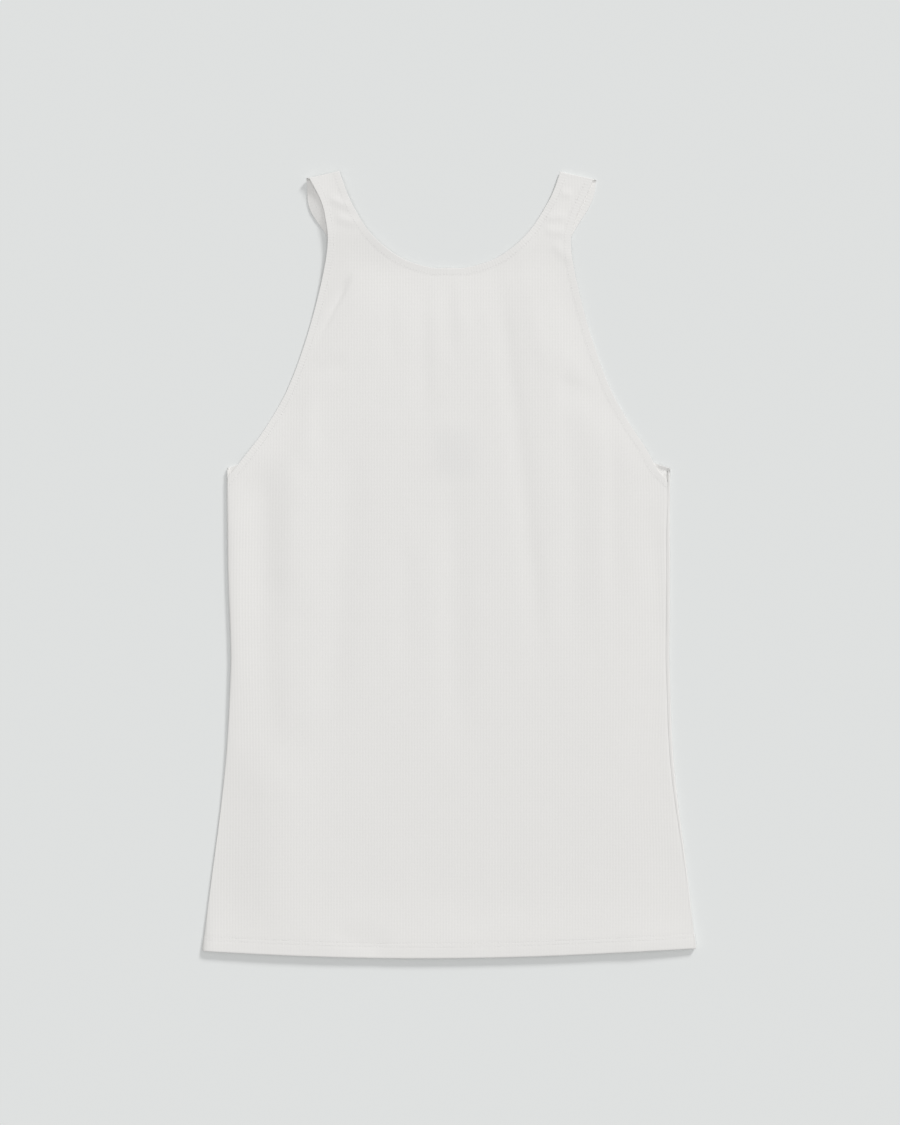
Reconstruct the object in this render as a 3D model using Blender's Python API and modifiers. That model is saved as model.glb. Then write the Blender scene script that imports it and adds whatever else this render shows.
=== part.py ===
"""Racerback tank top in white jersey, laid flat on its back panel with the front up.

Frame: +X to the right and +Y towards the neck as seen from above, +Z up. The origin is
under the middle of the garment, on the surface that it lies on.

Every piece is cut in plan, lifted by the height function of its layer, and given its
wall by a Solidify modifier. Plan sizes in the tables are millimetres: out from the centre
line, and up from the middle of the hem.
"""

import math
from bisect import bisect_right
from collections import namedtuple

import bpy
from mathutils import Vector

MM = 0.001
GARMENT = "racerback_tank_top"

# Driving dimensions, in millimetres.
LENGTH = 629.1          # hem to shoulder fold
CLOTH = 1.0             # wall of the jersey
HEM_CLOTH = 1.8         # wall where the hem is turned up
HEM_DEPTH = 12.0        # depth of the turned hem
HEM_STEP = 3.0          # run over which the hem's wall thins out
BAND_CLOTH = 1.6        # wall of the folded binding
BAND_WIDTH = 6.0        # finished width of the binding
SEAM_GAP = 0.3          # between pieces that are sewn together
FOLD_GAP = 0.44         # between the middles of two walls that meet at a folded edge
SIDE_SEAM_HEIGHT = 2.9  # where front and back meet at the sides
TOP_SEAM_HEIGHT = 3.6   # where they meet at the shoulder fold
FOLD_RUN = 2.6          # plan width of the rounded edge at sides and shoulders
FRONT_REST = 2.9        # middle of the front's wall where it lies on the back
LABEL_WIDTH, LABEL_HEIGHT = 38.0, 30.0
LABEL_TOP = 418.4       # just under the binding of the back neck

# Outlines, each from its lower or inner end.
Point = namedtuple("Point", "out up")
SIDE_SEAM = [
    Point(197.2, 5.0),
    Point(189.6, 62.0),
    Point(178.4, 158.0),
    Point(173.8, 222.0),
    Point(173.0, 254.0),
    Point(175.0, 318.0),
    Point(177.0, 391.0),
]
FRONT_ARMHOLE = [
    Point(176.8, 383.0),
    Point(162.4, 401.6),
    Point(146.4, 424.0),
    Point(127.6, 458.4),
    Point(110.0, 509.6),
    Point(97.8, 565.0),
    Point(101.0, 594.0),
    Point(113.5, 623.5),
]
FRONT_NECK = [
    Point(0.0, 551.6),
    Point(16.0, 552.2),
    Point(40.4, 560.8),
    Point(63.4, 580.0),
    Point(79.2, 605.6),
    Point(88.4, 629.0),
]
BACK_ARMHOLE = [
    Point(177.0, 391.0),
    Point(155.0, 398.5),
    Point(119.0, 412.5),
    Point(88.0, 437.0),
    Point(68.0, 478.0),
    Point(73.0, 516.0),
    Point(88.0, 556.0),
    Point(102.5, 589.0),
    Point(109.0, 606.0),
    Point(113.5, 623.5),
]
BACK_NECK = [
    Point(0.0, 425.0),
    Point(20.0, 431.5),
    Point(34.0, 455.0),
    Point(42.5, 490.0),
    Point(60.0, 545.0),
    Point(79.0, 594.0),
    Point(88.4, 629.0),
]

# How a panel is cut: its outlines, the shares of their lengths at which the straps leave
# the body, and how finely it is divided.
Cut = namedtuple(
    "Cut",
    "armhole neck arm_leave neck_leave neck_columns strap_columns"
    " row_height arm_rows strap_rows",
)
FRONT_CUT = Cut(FRONT_ARMHOLE, FRONT_NECK, 0.68, 0.52, 9, 9, 18.0, 9, 5)
BACK_CUT = Cut(BACK_ARMHOLE, BACK_NECK, 0.48, 0.15, 5, 7, 32.0, 9, 9)

# Largest soft folds of the front: a line from one end to the other in plan, with x to the
# right of the centre line, and the height that it adds or takes away on that line.
Fold = namedtuple("Fold", "x0 up0 x1 up1 half_width rise")
FOLDS = [
    Fold(-26, 542, -30, 395, 9.0, -0.5),
    Fold(-13, 545, -11, 420, 9.0, 0.7),
    Fold(14, 545, 15, 385, 8.0, -0.4),
    Fold(26, 545, 28, 400, 8.0, 0.8),
    Fold(40, 535, 84, 270, 10.0, -0.6),
    Fold(62, 520, 104, 290, 16.0, 1.1),
    Fold(96, 470, 128, 445, 9.0, 0.8),
    Fold(-70, 545, -104, 500, 8.0, 0.9),
    Fold(-100, 450, -98, 250, 18.0, 0.8),
    Fold(-152, 400, -152, 190, 11.0, -0.4),
    Fold(-10, 290, -12, 150, 26.0, 0.7),
    Fold(-84, 300, -84, 160, 18.0, 0.5),
    Fold(-150, 150, -165, 30, 22.0, 0.7),
    Fold(150, 190, 168, 30, 20.0, 0.8),
    Fold(-76, 60, -70, 12, 14.0, 0.9),
    Fold(52, 70, 60, 10, 20.0, 0.7),
]
LABEL_LIFT = 0.7        # the front rises over the label
SIDE_LIFT, SIDE_LIFT_REACH = 2.1, 20.0
HEM_LIFT, HEM_LIFT_REACH = 1.6, 26.0
STRAP_LIFT, STRAP_LIFT_START, STRAP_LIFT_END = 3.4, 530.0, 618.0

# How the folded edges are divided.
BAND_RUN_ON = 15        # points by which an outline is run on before it is cut to a fold
FOLD_ANGLES = [0.0, 30.0, 57.0, 78.0, 90.0]
FOLD_STOPS = [FOLD_RUN * (1 - math.sin(math.radians(a))) for a in FOLD_ANGLES]

WHITE_JERSEY = (0.80, 0.79, 0.77, 1.0)
WHITE_BINDING = (0.79, 0.78, 0.76, 1.0)
GREY_LABEL = (0.62, 0.62, 0.62, 1.0)


# ---- plan curves -------------------------------------------------------------------

def smooth_line(knots, step=1.0):
    """Points about `step` apart on a smooth curve through the knots."""
    knots = [Vector(knot) for knot in knots]
    before = knots[0] * 2 - knots[1]
    if knots[0].x == 0:
        before = Vector((-knots[1].x, knots[1].y))
    after = knots[-1] * 2 - knots[-2]
    padded = [before, *knots, after]
    line = []
    for a, b, c, d in zip(padded, padded[1:], padded[2:], padded[3:]):
        pieces = max(2, round((c - b).length / step))
        for i in range(pieces):
            t = i / pieces
            bend = (2 * a - 5 * b + 4 * c - d) * t * t + (3 * b - a - 3 * c + d) * t ** 3
            line.append(b + ((c - a) * t + bend) / 2)
    line.append(knots[-1])
    return line


def lengths_along(line):
    """Distance from the start of a line to each of its points."""
    total = [0.0]
    for a, b in zip(line, line[1:]):
        total.append(total[-1] + (b - a).length)
    return total


def point_at(line, share):
    """The point at a share, from 0 to 1, of a line's length."""
    total = lengths_along(line)
    wanted = min(max(share, 0.0), 1.0) * total[-1]
    i = min(bisect_right(total, wanted), len(line) - 1)
    part = (wanted - total[i - 1]) / (total[i] - total[i - 1])
    return line[i - 1].lerp(line[i], part)


def moved_in(line, distance):
    """A line moved sideways, to the left of the way it runs."""
    moved = []
    for i, point in enumerate(line):
        along = line[min(i + 1, len(line) - 1)] - line[max(i - 1, 0)]
        moved.append(point + Vector((-along.y, along.x)).normalized() * distance)
    return moved


def cut_line(line, keep):
    """A line cut back to where keep() turns from positive to negative, at either end."""
    kept = [point for point in line if keep(point) > 0]
    start = line.index(kept[0])
    end = line.index(kept[-1])
    if start > 0:
        kept.insert(0, crossing(line[start - 1], line[start], keep))
    if end < len(line) - 1:
        kept.append(crossing(line[end + 1], line[end], keep))
    return kept


def crossing(outside, inside, keep):
    """Where keep() is nought between two points."""
    a = keep(outside)
    b = keep(inside)
    return outside.lerp(inside, -a / (b - a))


# ---- the edges that are folded over -----------------------------------------------

SIDE_LINE = smooth_line([Point(p.out - CLOTH / 2, p.up) for p in SIDE_SEAM])
SHOULDER_IN = Vector(FRONT_NECK[-1]) - Vector((0, CLOTH / 2))
SHOULDER_OUT = Vector(FRONT_ARMHOLE[-1]) - Vector((0, CLOTH / 2))
SHOULDER = (SHOULDER_OUT - SHOULDER_IN).normalized()
SHOULDER_UP = Vector((-SHOULDER.y, SHOULDER.x))


def side_out(up):
    """Half width between the side seams at a height above the hem."""
    heights = [p.y for p in SIDE_LINE]
    i = min(max(bisect_right(heights, up), 1), len(heights) - 1)
    a = SIDE_LINE[i - 1]
    b = SIDE_LINE[i]
    part = min(max((up - a.y) / (b.y - a.y), -1.0), 1.0)
    return a.x + (b.x - a.x) * part


def to_side(point):
    """Distance in from the side seam."""
    return side_out(point.y) - abs(point.x)


def to_shoulder(point):
    """Distance down from the shoulder fold."""
    return (SHOULDER_IN - Vector((abs(point.x), point.y))).dot(SHOULDER_UP)


def inside_edges(point):
    """Positive where cloth may lie: inside the side seam and under the shoulder fold."""
    return min(to_side(point), to_shoulder(point))


def rounded(height, end, distance):
    """Height near a folded edge: it drops or rises to `end` in a quarter round."""
    if distance >= FOLD_RUN:
        return height
    part = 1 - max(distance, 0.0) / FOLD_RUN
    return end + (height - end) * math.sqrt(max(1 - part * part, 0.0))


def with_folded_edges(point, height, side_end, top_end):
    height = rounded(height, side_end, to_side(point))
    return rounded(height, top_end, to_shoulder(point))


# ---- heights of the two layers ----------------------------------------------------

def smooth_step(value, start, end):
    t = min(max((value - start) / (end - start), 0.0), 1.0)
    return t * t * (3 - 2 * t)


def fold_rise(fold, point):
    """Height of one fold at a point: round across its line, fading past its ends."""
    start = Vector((fold.x0, fold.up0))
    run = Vector((fold.x1, fold.up1)) - start
    along = (point - start).dot(run) / run.length_squared
    nearest = start + run * min(max(along, 0.0), 1.0)
    across = (point - nearest).length / fold.half_width
    return fold.rise * math.exp(-across * across)


def label_rise(point):
    across = point.x / (LABEL_WIDTH * 0.62)
    along = (point.y - LABEL_TOP + LABEL_HEIGHT / 2) / (LABEL_HEIGHT * 0.72)
    return LABEL_LIFT * math.exp(-across ** 4 - along ** 4)


def front_height(point):
    """Middle of the front's wall above the surface."""
    height = FRONT_REST + label_rise(point)
    height += sum(fold_rise(fold, point) for fold in FOLDS)
    height += SIDE_LIFT * math.exp(-(max(to_side(point), 0.0) / SIDE_LIFT_REACH) ** 2)
    height += HEM_LIFT * math.exp(-(point.y / HEM_LIFT_REACH) ** 2)
    height += STRAP_LIFT * smooth_step(point.y, STRAP_LIFT_START, STRAP_LIFT_END)
    half_gap = FOLD_GAP / 2
    return with_folded_edges(
        point, height, SIDE_SEAM_HEIGHT + half_gap, TOP_SEAM_HEIGHT + half_gap
    )


def back_height(point, wall=CLOTH):
    """Middle of a wall of the back, whose underside lies flat on the surface."""
    half_gap = FOLD_GAP / 2
    return with_folded_edges(
        point, wall / 2, SIDE_SEAM_HEIGHT - half_gap, TOP_SEAM_HEIGHT - half_gap
    )


# ---- plan grids ---------------------------------------------------------------------

def hem_point(out):
    """The hem hangs a little lower in the middle."""
    corner = SIDE_SEAM[0]
    return Vector((out, corner.up * (out / corner.out) ** 2))


def seam_line(knots, to_cloth):
    """An outline moved into the cloth by a binding's width, between the folded edges.

    The cloth lies to the left of an armhole (to_cloth 1) and to the right of a neck (-1).
    """
    line = smooth_line(knots)
    if knots[0].out > 0:
        line.insert(0, line[0] * 2 - line[BAND_RUN_ON])
    line.append(line[-1] * 2 - line[-1 - BAND_RUN_ON])
    line = moved_in(line, to_cloth * (BAND_WIDTH + SEAM_GAP))
    return cut_line(line, inside_edges)


def even_shares(start, end, parts):
    """Shares from start to end in equal parts, without the start."""
    return [start + (end - start) * (i + 1) / parts for i in range(parts)]


def strap_shares(line, leave, rows):
    """Shares of a seam line for the rows of a strap, closer where it folds over."""
    length = lengths_along(line)[-1]
    stops = [1 - stop / length for stop in FOLD_STOPS]
    return even_shares(leave, stops[0], rows) + stops[1:]


def neck_shares(line, cut):
    body = [0.0] + even_shares(0.0, cut.neck_leave, cut.neck_columns)
    return body + strap_shares(line, cut.neck_leave, cut.strap_rows)


def armhole_shares(line, cut):
    """Shares of an armhole's seam for all its rows, closer where the side folds over."""
    length = lengths_along(line)[-1]
    slant = abs((line[1] - line[0]).normalized().x)
    stops = [stop / slant / length for stop in reversed(FOLD_STOPS)]
    body = stops + even_shares(stops[-1], cut.arm_leave, cut.arm_rows)
    return body + strap_shares(line, cut.arm_leave, cut.strap_rows)


def row_shares(cut, past_side):
    """Where the columns of half a row lie, from the centre line to its outer end.

    They crowd at the side seam, and spread as past_side goes from 0 there to 1.
    """
    split = neck_split(cut)
    inner = [split * i / cut.neck_columns for i in range(cut.neck_columns + 1)]
    even = even_shares(split, 1.0, cut.strap_columns)
    edge = [1 - stop / SIDE_SEAM[3].out for stop in FOLD_STOPS]
    plain = cut.strap_columns + 1 - len(edge)
    crowded = even_shares(split, edge[0], plain) + edge[1:]
    return inner + [c + (e - c) * past_side for c, e in zip(crowded, even)]


def neck_split(cut):
    return cut.neck_columns / (cut.neck_columns + cut.strap_columns)


def hem_rows(cut, top):
    """Heights of the rows from the hem up to the underarm."""
    rows = [0.0, HEM_DEPTH * 0.5, HEM_DEPTH, HEM_DEPTH + HEM_STEP]
    plain = round((top - rows[-1]) / cut.row_height)
    return rows + even_shares(rows[-1], top, plain)


def half_panel(cut):
    """Rows of plan points for the right half of a panel's body, and for its strap.

    The body is blended between hem, centre line, side with armhole, and neck. The strap
    is ruled between its two seams.
    """
    neck = seam_line(cut.neck, -1)
    armhole = seam_line(cut.armhole, 1)
    arm = armhole_shares(armhole, cut)
    split = neck_split(cut)
    strap_in = point_at(neck, cut.neck_leave)
    strap_out = point_at(armhole, cut.arm_leave)
    arm_rows = len(FOLD_STOPS) - 1 + cut.arm_rows
    underarm = armhole[0].y
    middle_top = neck[0]
    hem_end = hem_point(side_out(SIDE_SEAM[0].up))

    ends = [(up, Vector((side_out(up), up)), 0.0) for up in hem_rows(cut, underarm)]
    ends[0] = (0.0, hem_end, 0.0)
    for i in range(1, arm_rows + 1):
        up = underarm + (middle_top.y - underarm) * i / arm_rows
        ends.append((up, point_at(armhole, arm[i]), smooth_step(i, 0, arm_rows)))

    def top_point(share):
        if share <= split:
            return point_at(neck, cut.neck_leave * share / split)
        return strap_in.lerp(strap_out, (share - split) / (1 - split))

    body = []
    for up, end, past_side in ends:
        rise = up / middle_top.y
        row = []
        for share in row_shares(cut, past_side):
            low = hem_point(hem_end.x * share)
            high = top_point(share)
            across = Vector((0.0, up)).lerp(end, share)
            corners = (middle_top * rise).lerp(hem_end.lerp(strap_out, rise), share)
            row.append(low.lerp(high, rise) + across - corners)
        body.append(row)

    strap = []
    inner_shares = strap_shares(neck, cut.neck_leave, cut.strap_rows)
    outer_shares = strap_shares(armhole, cut.arm_leave, cut.strap_rows)
    for inner_share, outer_share in zip(inner_shares, outer_shares):
        inner = point_at(neck, inner_share)
        outer = point_at(armhole, outer_share)
        parts = [0.0] + even_shares(0.0, 1.0, cut.strap_columns)
        strap.append([inner.lerp(outer, part) for part in parts])
    return body, strap


def mirrored(row):
    return [Vector((-point.x, point.y)) for point in reversed(row)]


# ---- meshes ---------------------------------------------------------------------------

class Cloth:
    """Points and faces of a thin sheet, each point with its share of the full wall."""

    def __init__(self, height):
        self.height = height
        self.points = []
        self.walls = []
        self.faces = []

    def add_row(self, plan, wall):
        first = len(self.points)
        for point in plan:
            self.points.append((point.x, point.y, self.height(point)))
            self.walls.append(wall)
        return list(range(first, first + len(plan)))

    def bridge(self, low, high):
        for a, b, c, d in zip(low, low[1:], high[1:], high):
            self.faces.append((a, b, c, d))

    def build(self, name, material, full_wall):
        mesh = bpy.data.meshes.new(name)
        lift = Vector((0.0, -LENGTH / 2, 0.0))
        points = [(Vector(point) + lift) * MM for point in self.points]
        mesh.from_pydata(points, [], self.faces)
        mesh.shade_smooth()
        mesh.materials.append(material)
        piece = bpy.data.objects.new(name, mesh)
        garment.objects.link(piece)
        group = piece.vertex_groups.new(name="wall")
        for index, wall in enumerate(self.walls):
            group.add([index], wall / full_wall, "REPLACE")
        solid = piece.modifiers.new("Wall", "SOLIDIFY")
        solid.thickness = full_wall * MM
        solid.offset = 0.0
        solid.use_even_offset = True
        solid.vertex_group = group.name
        solid.thickness_vertex_group = 0.0
        return piece


def make_panel(name, cut, height):
    """A front or back with its two straps, hem to shoulder fold."""
    body, strap = half_panel(cut)
    cloth = Cloth(height)
    row = None
    for plan in body:
        wall = HEM_CLOTH if plan[0].y <= HEM_DEPTH else CLOTH
        new_row = cloth.add_row(mirrored(plan[1:]) + plan, wall)
        if row:
            cloth.bridge(row, new_row)
        row = new_row
    left = row[: cut.strap_columns + 1]
    right = row[-cut.strap_columns - 1:]
    for plan in strap:
        new_left = cloth.add_row(mirrored(plan), CLOTH)
        new_right = cloth.add_row(plan, CLOTH)
        cloth.bridge(left, new_left)
        cloth.bridge(right, new_right)
        left = new_left
        right = new_right
    return cloth.build(name, jersey, HEM_CLOTH)


# Lanes of a binding: distance out from the panel's edge, and wall.
Lane = namedtuple("Lane", "outset wall")
BAND_LANES = [
    Lane(SEAM_GAP, BAND_CLOTH * 0.8),
    Lane(SEAM_GAP + BAND_WIDTH * 0.12, BAND_CLOTH),
    Lane(SEAM_GAP + BAND_WIDTH * 0.7, BAND_CLOTH),
    Lane(SEAM_GAP + BAND_WIDTH * 0.9, BAND_CLOTH * 0.86),
    Lane(SEAM_GAP + BAND_WIDTH, BAND_CLOTH * 0.5),
]


def band_rows(line, shares, out_side, start_fold, end_fold):
    """Rows across a binding, from its panel's edge points outwards.

    They stand square to the seam, and run along the fold where it is folded over.
    """
    length = lengths_along(line)[-1]
    rows = []
    for share in shares:
        point = point_at(line, share)
        ahead = point_at(line, share + 1 / length) - point_at(line, share - 1 / length)
        ahead.normalize()
        out = Vector((ahead.y, -ahead.x)) * out_side
        for fold, reach in ((start_fold, share * length), (end_fold, (1 - share) * length)):
            if fold:
                out = fold.lerp(out, smooth_step(reach, FOLD_RUN * 1.5, BAND_WIDTH * 4))
        out /= abs(out.x * ahead.y - out.y * ahead.x)
        rows.append([point + out * lane.outset for lane in BAND_LANES])
    return rows


def make_band(name, rows, height):
    """A flat binding along the rows that cross it."""
    cloth = Cloth(height)
    last = None
    for plan in rows:
        new_row = cloth.add_row(plan, BAND_CLOTH)
        for index, lane in zip(new_row, BAND_LANES):
            cloth.walls[index] = lane.wall
        if last:
            cloth.bridge(last, new_row)
        last = new_row
    return cloth.build(name, binding, BAND_CLOTH)


def make_armhole_band(name, cut, side, height):
    """The binding of one armhole; side is 1 on the right and -1 on the left."""
    line = seam_line(cut.armhole, 1)
    shares = armhole_shares(line, cut)
    rows = band_rows(line, shares, 1, Vector((0.0, 1.0)), SHOULDER)
    if side < 0:
        rows = [[Vector((-p.x, p.y)) for p in row] for row in reversed(rows)]
    return make_band(name, rows[::-1], height)


def make_neck_band(name, cut, height):
    """The binding of a neck, from one shoulder down and up to the other."""
    line = seam_line(cut.neck, -1)
    rows = band_rows(line, neck_shares(line, cut), -1, None, -SHOULDER)
    left = [[Vector((-p.x, p.y)) for p in row] for row in reversed(rows[1:])]
    return make_band(name, left + rows, height)


def make_label():
    """A blank label on the inside of the back, under its neck."""
    bpy.ops.mesh.primitive_grid_add(x_subdivisions=4, y_subdivisions=3, size=1.0)
    label = bpy.context.object
    label.name = label.data.name = "neck_label"
    height = CLOTH + SEAM_GAP + CLOTH / 2
    middle = LABEL_TOP - LABEL_HEIGHT / 2 - LENGTH / 2
    for vertex in label.data.vertices:
        vertex.co.x *= LABEL_WIDTH * MM
        vertex.co.y = vertex.co.y * LABEL_HEIGHT * MM + middle * MM
        vertex.co.z = height * MM
    for collection in label.users_collection:
        collection.objects.unlink(label)
    garment.objects.link(label)
    label.data.materials.append(woven)
    solid = label.modifiers.new("Wall", "SOLIDIFY")
    solid.thickness = CLOTH * MM
    solid.offset = 0.0
    return label


def cloth_material(name, color, roughness):
    material = bpy.data.materials.new(name)
    material.use_nodes = True
    shader = material.node_tree.nodes["Principled BSDF"]
    shader.inputs["Base Color"].default_value = color
    shader.inputs["Roughness"].default_value = roughness
    shader.inputs["Metallic"].default_value = 0.0
    return material


for old in list(bpy.data.objects):
    bpy.data.objects.remove(old)

garment = bpy.data.collections.new(GARMENT)
bpy.context.scene.collection.children.link(garment)
jersey = cloth_material("white_jersey", WHITE_JERSEY, 0.9)
binding = cloth_material("white_binding", WHITE_BINDING, 0.9)
woven = cloth_material("blank_label", GREY_LABEL, 0.7)


def back_panel_height(point):
    wall = HEM_CLOTH if point.y <= HEM_DEPTH else CLOTH
    return back_height(point, wall)


def back_band_height(point):
    return back_height(point, BAND_CLOTH)


make_panel("front_panel", FRONT_CUT, front_height)
make_panel("back_panel", BACK_CUT, back_panel_height)
make_label()
make_neck_band("neck_band_front", FRONT_CUT, front_height)
make_neck_band("neck_band_back", BACK_CUT, back_band_height)
for side, label in ((1, "right"), (-1, "left")):
    make_armhole_band(f"armhole_band_front_{label}", FRONT_CUT, side, front_height)
    make_armhole_band(f"armhole_band_back_{label}", BACK_CUT, side, back_band_height)
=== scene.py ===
"""Racerback tank top in white rib jersey, laid flat on its back with the front up.

Sizes are in millimetres: out from the centre line and up from the middle of the hem.
They become metres when a mesh is made.
"""

from collections import namedtuple

import bpy
import numpy as np
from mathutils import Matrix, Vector, noise


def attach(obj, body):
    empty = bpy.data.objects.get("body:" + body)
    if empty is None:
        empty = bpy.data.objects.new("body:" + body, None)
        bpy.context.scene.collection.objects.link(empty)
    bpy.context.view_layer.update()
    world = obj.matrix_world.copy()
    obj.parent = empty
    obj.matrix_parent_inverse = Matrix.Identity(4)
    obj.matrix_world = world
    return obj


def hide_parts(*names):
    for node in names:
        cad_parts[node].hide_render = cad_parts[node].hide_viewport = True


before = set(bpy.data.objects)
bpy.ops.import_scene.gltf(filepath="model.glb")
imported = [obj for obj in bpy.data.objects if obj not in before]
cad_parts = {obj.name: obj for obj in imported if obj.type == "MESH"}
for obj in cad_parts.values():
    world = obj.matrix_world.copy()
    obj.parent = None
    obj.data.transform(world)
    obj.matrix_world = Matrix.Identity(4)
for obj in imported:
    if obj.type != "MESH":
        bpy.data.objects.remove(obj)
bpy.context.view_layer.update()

MM = 0.001
LENGTH = 629.1  # hem to shoulder fold

# Walls and heights of the cloth.
JERSEY = 0.7  # wall of the jersey
HEM_WALL = 1.5  # wall where the hem is turned up
HEM_DEPTH = 12.0
HEM_STEP_IN, HEM_STEP_OUT = 0.2, 1.2  # the wall thins from below that to above it
HEM_ROUND = 0.8  # the hem's edge is rounded over this height
HEM_EDGE = 0.35  # of its wall, what is left at the very edge
BINDING = 0.14  # wall of the strip folded round the edges
BAND_WIDTH = 6.2  # finished width of the binding
BAND_HALF = 0.375  # from its middle to either leg, where it turns over
BAND_TURN = 0.12  # how far out the turn stands
PRESSED = 0.78  # of its wall, what the jersey keeps inside a binding
PRESSED_IN, PRESSED_OUT = 2.5, 0.5  # it regains its wall about the binding's inner edge
EDGE_IN = 1.4  # raw edge of a panel, inside its binding
FLOOR_GAP = 0.05
FRONT_REST = 2.6  # middle of the front where it lies on the back
LEFT_SEAM, LEFT_SEAM_LOW, RIGHT_SEAM = 2.6, 1.3, 1.7  # heights of the side seams
LEFT_SEAM_START, LEFT_SEAM_FULL = 110.0, 220.0  # up from the hem, where the left one climbs
FOLD_IN = 0.5  # side and shoulder folds lie this far inside the outline
TOP_INSET = 0.35  # the back's fold lies this far inside the front's end there
TOP_SEAM_DROP = 0.05  # the shoulder seam lies this far under the front's middle
SEAM_SPLIT = 0.02  # half the slit between two pieces that meet at a fold
FOLD_RUN = 2.6  # plan width of the back's rounded edge at sides and shoulders
LEFT_RUN, RIGHT_RUN, TOP_RUN = 7.0, 0.3, 0.05  # the same for the front
FOLD_CLEAR = FOLD_RUN * 2  # past this a fold of the back has no effect
BAND_LIFT = 0.2  # the back rises into its binding
BAND_LIFT_RUN = 7.0
LABEL_WIDTH, LABEL_HEIGHT, LABEL_WALL = 38.0, 30.0, 0.45
LABEL_TOP = 418.4  # its upper edge, above the hem
LABEL_SHIFT = 5.5  # it lies a little right of the centre line
LABEL_GAP = 0.08  # between it and the back
LABEL_CURL, LABEL_CURL_RUN = 0.25, 2.5  # its free edges curl up
LABEL_CLIMB_START, LABEL_CLIMB_FULL = 14.0, 6.0  # below its top; it rises with the back
LABEL_COLUMNS, LABEL_ROWS = 24, 18

# Outlines, each from its lower or inner end.
SIDE_SEAM = [
    (197.2, 5.0), (189.6, 62.0), (178.4, 158.0), (173.8, 222.0), (173.0, 254.0),
    (175.0, 318.0), (177.0, 391.0),
]
FRONT_ARMHOLE = [
    (176.8, 383.0), (162.4, 401.6), (146.4, 424.0), (127.6, 458.4), (110.0, 509.6),
    (97.8, 565.0), (101.0, 594.0), (113.5, 623.5),
]
FRONT_NECK = [
    (0.0, 551.6), (16.0, 552.2), (40.4, 560.8), (63.4, 580.0), (79.2, 605.6),
    (88.4, 629.0),
]
BACK_ARMHOLE = [
    (177.0, 391.0), (155.0, 398.5), (119.0, 412.5), (88.0, 437.0), (68.0, 478.0),
    (73.0, 516.0), (88.0, 556.0), (102.5, 589.0), (109.0, 606.0), (113.5, 623.5),
]
BACK_NECK = [
    (0.0, 425.0), (20.0, 431.5), (34.0, 455.0), (42.5, 490.0), (60.0, 545.0),
    (79.0, 594.0), (88.4, 629.0),
]

# A panel's outlines, where along them the straps leave the body, and how finely it's divided.
Cut = namedtuple(
    "Cut", "armhole neck arm_leave neck_leave neck_columns strap_columns row arm_rows strap_rows"
)
FRONT_CUT = Cut(FRONT_ARMHOLE, FRONT_NECK, 0.68, 0.52, 36, 38, 2.7, 62, 58)
BACK_CUT = Cut(BACK_ARMHOLE, BACK_NECK, 0.48, 0.15, 14, 30, 4.2, 44, 84)
BODY_HALF = SIDE_SEAM[3][0]  # half width by which the columns are shared out
RUN_ON = 15  # points by which an outline runs on past its ends

# The hem's rows above its edge, close where it turns and at its two rows of stitches.
HEM_ROWS = [0.0, 0.3, 0.8, 1.8, 3.5, 5.5, 7.2, 8.2, 8.8, 9.4, 10.2, 11.0, 11.6, 12.2, 12.8,
            13.6, 15.0]
HEM_STITCH_ROWS = [9.0, 11.8]

# Angles that divide a rounded edge, and their distances in from it.
FOLD_ANGLES = np.radians([0, 14, 28, 42, 55, 66, 75, 83, 90])
FOLD_STOPS = FOLD_RUN * (1 - np.sin(FOLD_ANGLES))

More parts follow.
